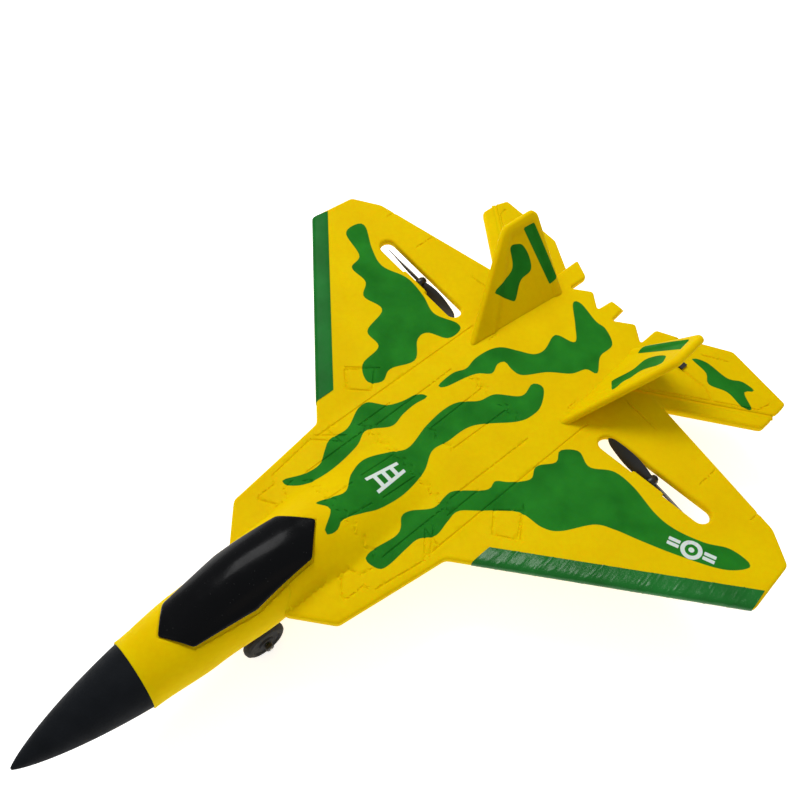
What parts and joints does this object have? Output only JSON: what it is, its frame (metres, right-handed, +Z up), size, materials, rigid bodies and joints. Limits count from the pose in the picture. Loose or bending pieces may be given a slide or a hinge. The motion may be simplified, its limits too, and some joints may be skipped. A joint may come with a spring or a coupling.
{
  "type": "radio-controlled foam jet",
  "caption": "Foam park-flyer model of a twin-tail jet, with two pusher propellers in wing slots, hinged tail surfaces and wheeled wire landing gear.",
  "frame": {"origin": "on the ground under the wheels, at the middle of the aircraft's length and span", "axes": "+Z up, -Y towards the nose, +X towards the aircraft's left wing"},
  "size_m": [0.3858, 0.4824, 0.1022],
  "materials": {
    "yellow_foam": "moulded bead foam, matt yellow with green printed patches",
    "black_soft_plastic": "soft matt black foam",
    "black_gloss_plastic": "thin glossy black moulding",
    "black_plastic": "black nylon",
    "white_plastic": "white nylon",
    "blue_plastic": "translucent blue servo case",
    "green_film": "glossy green adhesive film",
    "circuit_green": "solder-masked circuit board",
    "battery_wrap": "shrink-wrapped pouch cell",
    "steel": "bright steel",
    "carbon_strip": "pultruded carbon strip"
  },
  "bodies": {
    "airframe": {"foam_board": "yellow_foam", "nose_section": "yellow_foam", "belly_pod": "yellow_foam", "fin_left": "yellow_foam", "fin_right": "yellow_foam", "nose_cone": "black_soft_plastic", "canopy": "black_gloss_plastic", "battery": "battery_wrap", "battery_plug": "white_plastic", "control_board": "circuit_green", "receiver_can": "steel", "motor_socket": "white_plastic", "servo_socket": "white_plastic", "antenna": "black_plastic", "switch_body": "black_plastic", "wing_spar": "carbon_strip", "nose_gear_plate": "black_plastic", "nose_gear_wire": "steel", "main_gear_plate": "black_plastic", "main_gear_wire": "steel", "leading_edge_tape_left": "green_film", "motor_left": "steel", "motor_cradle_left": "black_plastic", "servo_left": "blue_plastic", "motor_lead_left": "black_plastic", "servo_lead_left": "black_plastic", "nose_collar_left": "black_plastic", "main_collar_left": "black_plastic", "leading_edge_tape_right": "green_film", "motor_right": "steel", "motor_cradle_right": "black_plastic", "servo_right": "blue_plastic", "motor_lead_right": "black_plastic", "servo_lead_right": "black_plastic", "nose_collar_right": "black_plastic", "main_collar_right": "black_plastic"},
    "elevator_left": {"elevator_left": "yellow_foam", "control_horn_left": "black_plastic", "horn_backing_left": "black_plastic"},
    "servo_arm_left": {"servo_arm_left": "white_plastic"},
    "pushrod_left": {"pushrod_left": "steel"},
    "propeller_left": {"propeller_left": "black_plastic", "spinner_left": "black_plastic", "motor_shaft_left": "steel"},
    "nose_wheel_left": {"nose_wheel_left": "black_soft_plastic"},
    "main_wheel_left": {"main_wheel_left": "black_soft_plastic"},
    "elevator_right": {"elevator_right": "yellow_foam", "control_horn_right": "black_plastic", "horn_backing_right": "black_plastic"},
    "servo_arm_right": {"servo_arm_right": "white_plastic"},
    "pushrod_right": {"pushrod_right": "steel"},
    "propeller_right": {"propeller_right": "black_plastic", "spinner_right": "black_plastic", "motor_shaft_right": "steel"},
    "nose_wheel_right": {"nose_wheel_right": "black_soft_plastic"},
    "main_wheel_right": {"main_wheel_right": "black_soft_plastic"},
    "battery_hatch": {"battery_hatch": "black_plastic"},
    "hatch_latch": {"hatch_latch": "black_plastic"},
    "power_switch": {"power_switch": "white_plastic"}
  },
  "joints": [
    {"name": "elevator_left_hinge", "type": "hinge", "parent": "airframe", "child": "elevator_left", "pos_m": [0.048, 0.16275, 0.0509], "axis": [0.8129, 0.5824, 0], "range_deg": [-20, 20]},
    {"name": "servo_left_shaft", "type": "hinge", "parent": "airframe", "child": "servo_arm_left", "pos_m": [0.058, 0.14425, 0.0395], "axis": [1, 0, 0], "range_deg": [-27, 27]},
    {"name": "pushrod_left_pin", "type": "hinge", "parent": "servo_arm_left", "child": "pushrod_left", "pos_m": [0.0599, 0.14425, 0.0315], "axis": [0.9891, 0, -0.1474], "range_deg": [-18.77, 18.77]},
    {"name": "propeller_left_spin", "type": "hinge", "parent": "airframe", "child": "propeller_left", "pos_m": [0.1045, 0.12425, 0.05092], "axis": [0, 1, 0], "continuous": true},
    {"name": "nose_wheel_left_spin", "type": "hinge", "parent": "airframe", "child": "nose_wheel_left", "pos_m": [0.017, -0.10525, 0.0135], "axis": [1, 0, 0], "continuous": true},
    {"name": "main_wheel_left_spin", "type": "hinge", "parent": "airframe", "child": "main_wheel_left", "pos_m": [0.04, 0.08325, 0.0135], "axis": [1, 0, 0], "continuous": true},
    {"name": "elevator_right_hinge", "type": "hinge", "parent": "airframe", "child": "elevator_right", "pos_m": [-0.048, 0.16275, 0.0509], "axis": [0.8129, -0.5824, 0], "range_deg": [-2, 40]},
    {"name": "servo_right_shaft", "type": "hinge", "parent": "airframe", "child": "servo_arm_right", "pos_m": [-0.058, 0.14425, 0.0395], "axis": [1, 0, 0], "range_deg": [-3.6, 53]},
    {"name": "pushrod_right_pin", "type": "hinge", "parent": "servo_arm_right", "child": "pushrod_right", "pos_m": [-0.0599, 0.14074, 0.03231], "axis": [0.9891, 0, 0.1474], "range_deg": [-36.55, 2.78]},
    {"name": "propeller_right_spin", "type": "hinge", "parent": "airframe", "child": "propeller_right", "pos_m": [-0.1045, 0.12425, 0.05092], "axis": [0, 1, 0], "continuous": true},
    {"name": "nose_wheel_right_spin", "type": "hinge", "parent": "airframe", "child": "nose_wheel_right", "pos_m": [-0.017, -0.10525, 0.0135], "axis": [1, 0, 0], "continuous": true},
    {"name": "main_wheel_right_spin", "type": "hinge", "parent": "airframe", "child": "main_wheel_right", "pos_m": [-0.04, 0.08325, 0.0135], "axis": [1, 0, 0], "continuous": true},
    {"name": "battery_hatch_hinge", "type": "hinge", "parent": "airframe", "child": "battery_hatch", "pos_m": [0, -0.04475, 0.0265], "axis": [-1, 0, 0], "range_deg": [0, 95]},
    {"name": "hatch_latch_turn", "type": "hinge", "parent": "airframe", "child": "hatch_latch", "pos_m": [0, 0.01805, 0.0265], "axis": [0, 0, 1], "range_deg": [0, 180]},
    {"name": "power_switch_slide", "type": "slide", "parent": "airframe", "child": "power_switch", "axis": [1, 0, 0], "range_m": [0, 0.0032]}
  ],
  "couplings": [
    {"joint": "servo_left_shaft", "follows": "elevator_left_hinge", "ratio": 1.3},
    {"joint": "pushrod_left_pin", "follows": "elevator_left_hinge", "ratio": -0.88871},
    {"joint": "servo_right_shaft", "follows": "elevator_right_hinge", "ratio": 1.3},
    {"joint": "pushrod_right_pin", "follows": "elevator_right_hinge", "ratio": -0.88871}
  ]
}
